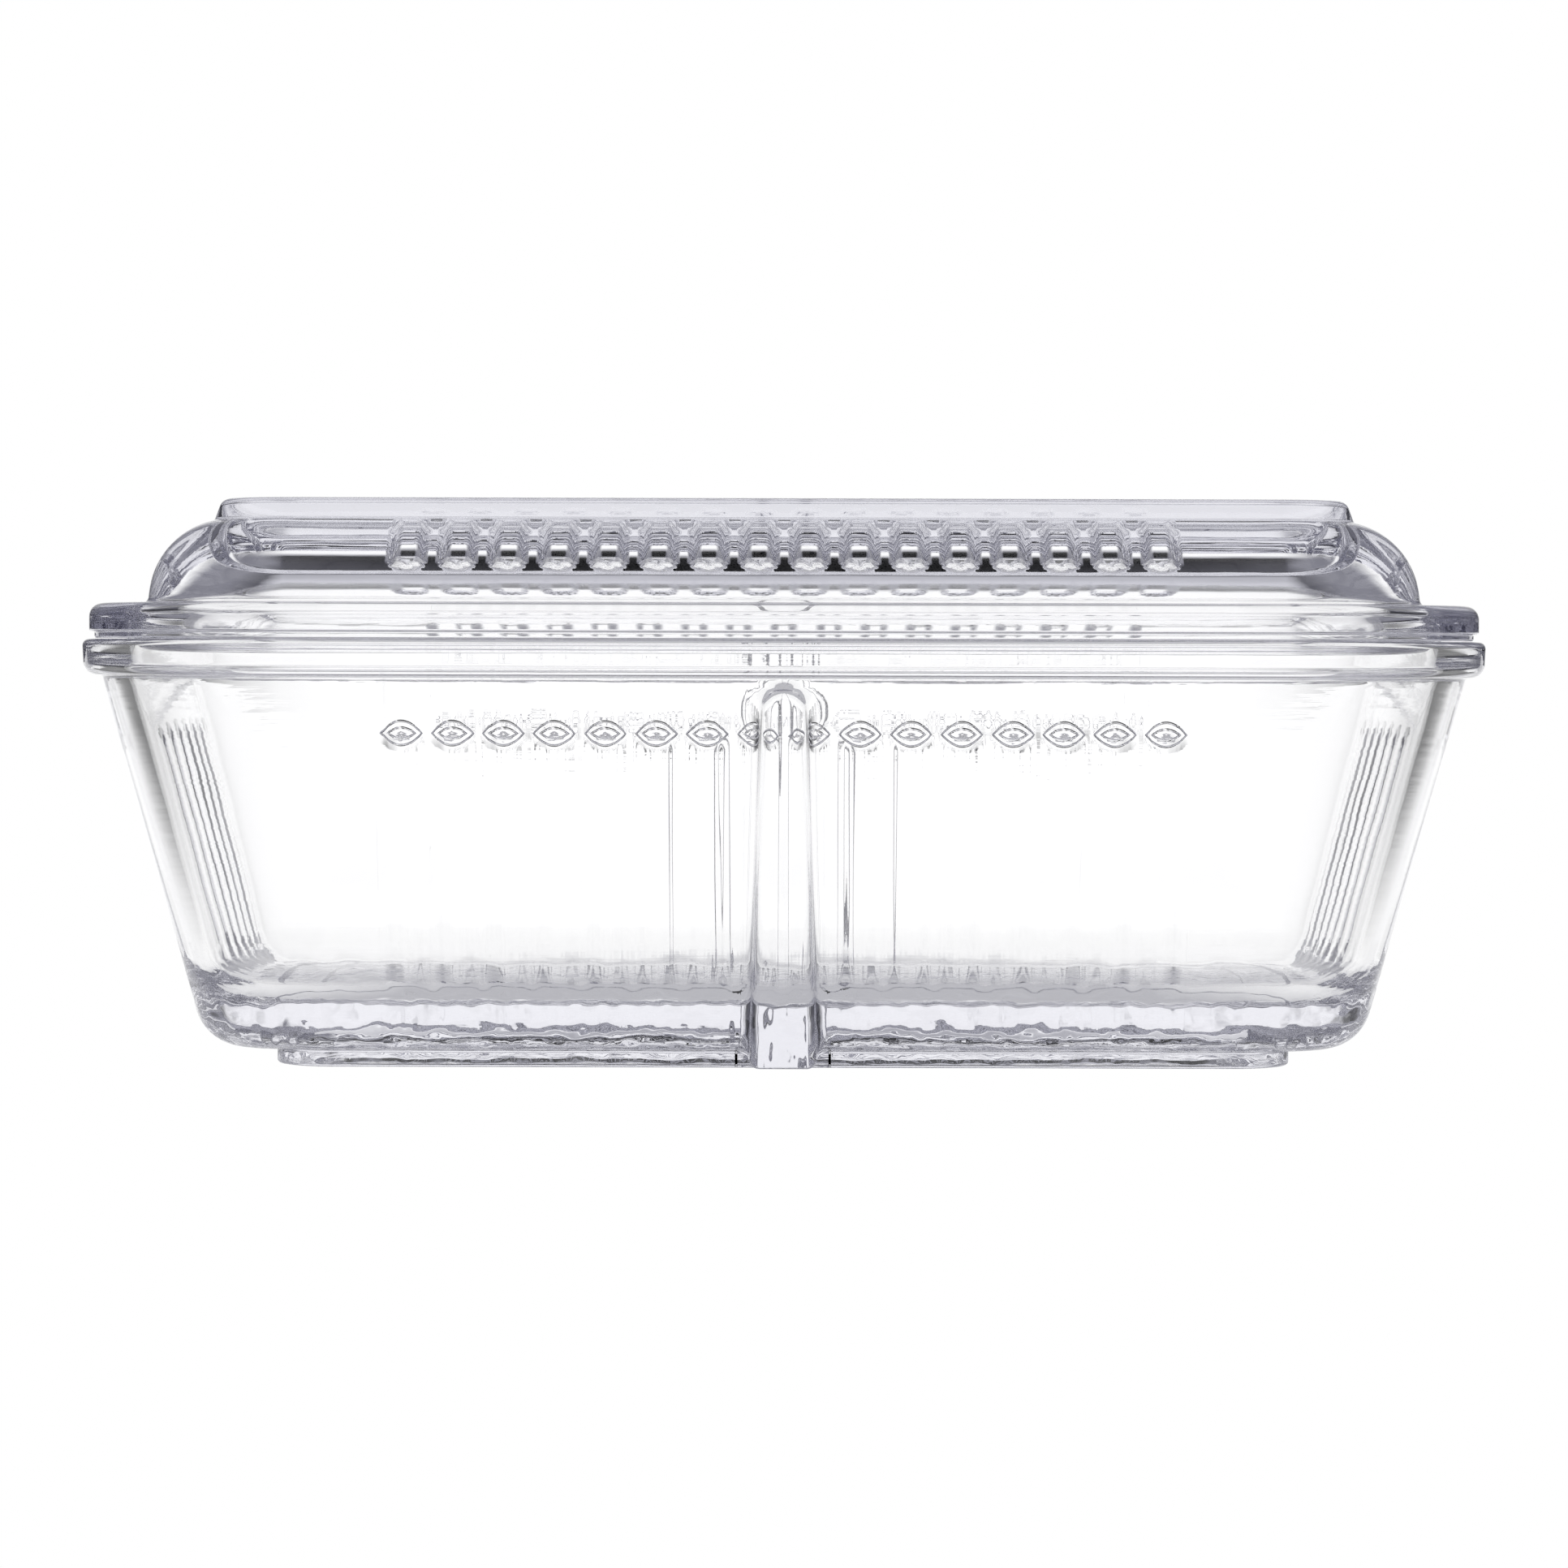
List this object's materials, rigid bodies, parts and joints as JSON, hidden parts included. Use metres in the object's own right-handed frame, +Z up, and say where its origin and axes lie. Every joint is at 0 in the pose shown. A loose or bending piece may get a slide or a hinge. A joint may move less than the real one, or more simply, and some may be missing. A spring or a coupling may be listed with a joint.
{
  "type": "butter dish",
  "caption": "Rectangular clear glass butter dish: a deep fluted tub on a foot, with a rib down each long side, and a shallow lid with a raised flat top that lifts off its rim.",
  "frame": {"origin": "centre of the underside of the tub's foot, on the table", "axes": "+X along the length, +Y across the width, +Z up out of the tub"},
  "size_m": [0.189, 0.105, 0.0761],
  "materials": {
    "tub_glass": "clear colourless pressed glass, fire-polished, faint ripple",
    "lid_glass": "clear colourless pressed glass, fire-polished, faint ripple"
  },
  "bodies": {
    "tub": {"tub": "tub_glass"},
    "lid": {"lid": "lid_glass"}
  },
  "joints": [
    {"name": "lid_lift", "type": "slide", "parent": "tub", "child": "lid", "axis": [0, 0, 1], "range_m": [0, 0.09]}
  ]
}
